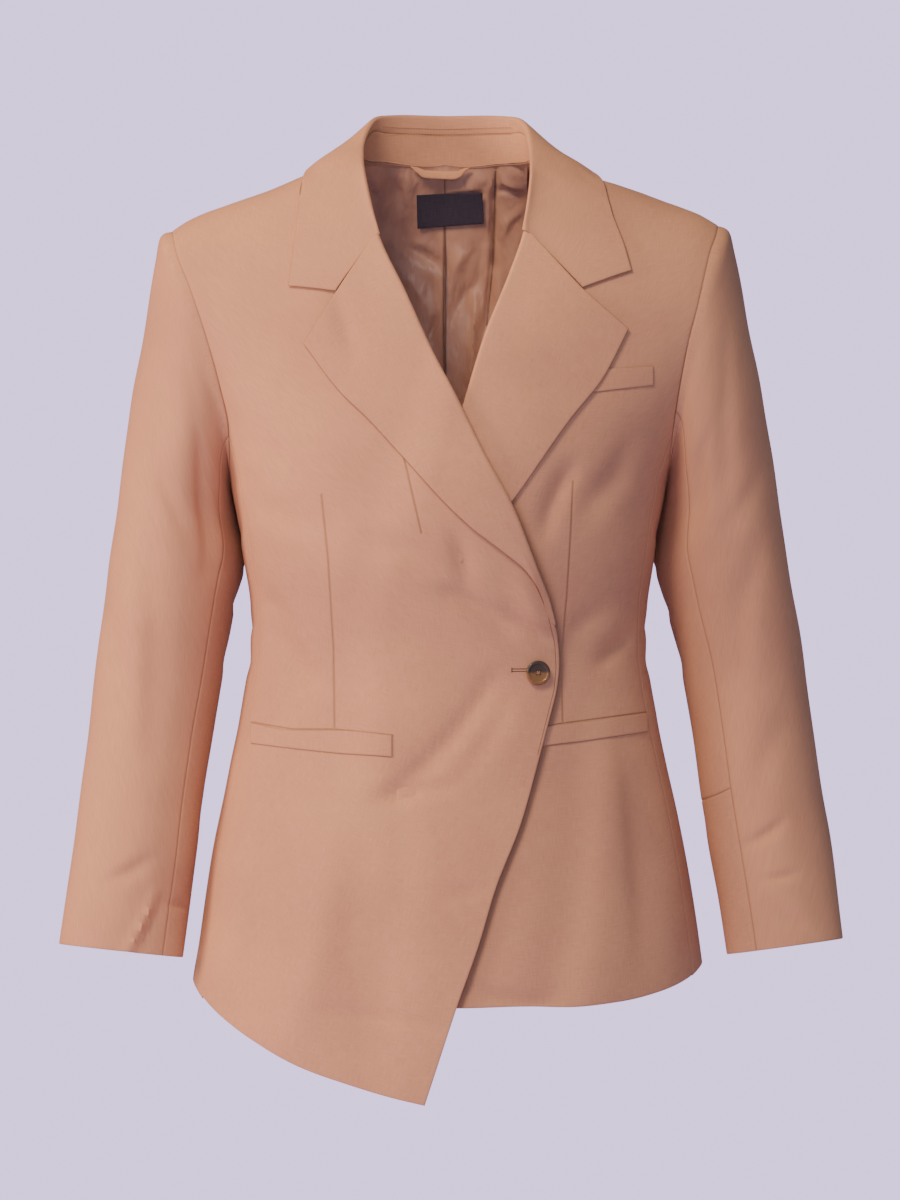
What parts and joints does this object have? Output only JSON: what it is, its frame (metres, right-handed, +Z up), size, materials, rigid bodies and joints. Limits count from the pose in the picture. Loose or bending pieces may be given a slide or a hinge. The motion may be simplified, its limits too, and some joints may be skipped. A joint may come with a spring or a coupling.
{
  "type": "wrap blazer",
  "caption": "Asymmetric wrap blazer with notched lapels, padded shoulders, welt pockets and one button, filled out as worn and open inside.",
  "frame": {"origin": "middle of the neck opening, level with the shoulder line beside the collar", "axes": "+Z up, the front faces -Y, the wearer's right side is at -X"},
  "size_m": [0.6441, 0.2752, 0.8136],
  "materials": {
    "suiting": "fine slubby crosshatch weave, matt",
    "satin": "satin weave, soft sheen",
    "label": "woven, plain",
    "horn": "horn-like, semi-gloss"
  },
  "bodies": {
    "root": {"right_front": "suiting", "left_front": "suiting", "right_side": "suiting", "left_side": "suiting", "right_back": "suiting", "left_back": "suiting", "right_lapel": "suiting", "left_lapel": "suiting", "collar": "suiting", "collar_stand": "suiting", "right_top_sleeve": "suiting", "right_under_sleeve": "suiting", "left_top_sleeve": "suiting", "left_under_sleeve": "suiting", "left_under_sleeve_lower": "suiting", "right_pocket_welt": "suiting", "left_pocket_welt": "suiting", "chest_welt": "suiting", "hanging_loop": "suiting", "back_lining": "satin", "neck_label": "label", "button": "horn"}
  },
  "joints": []
}
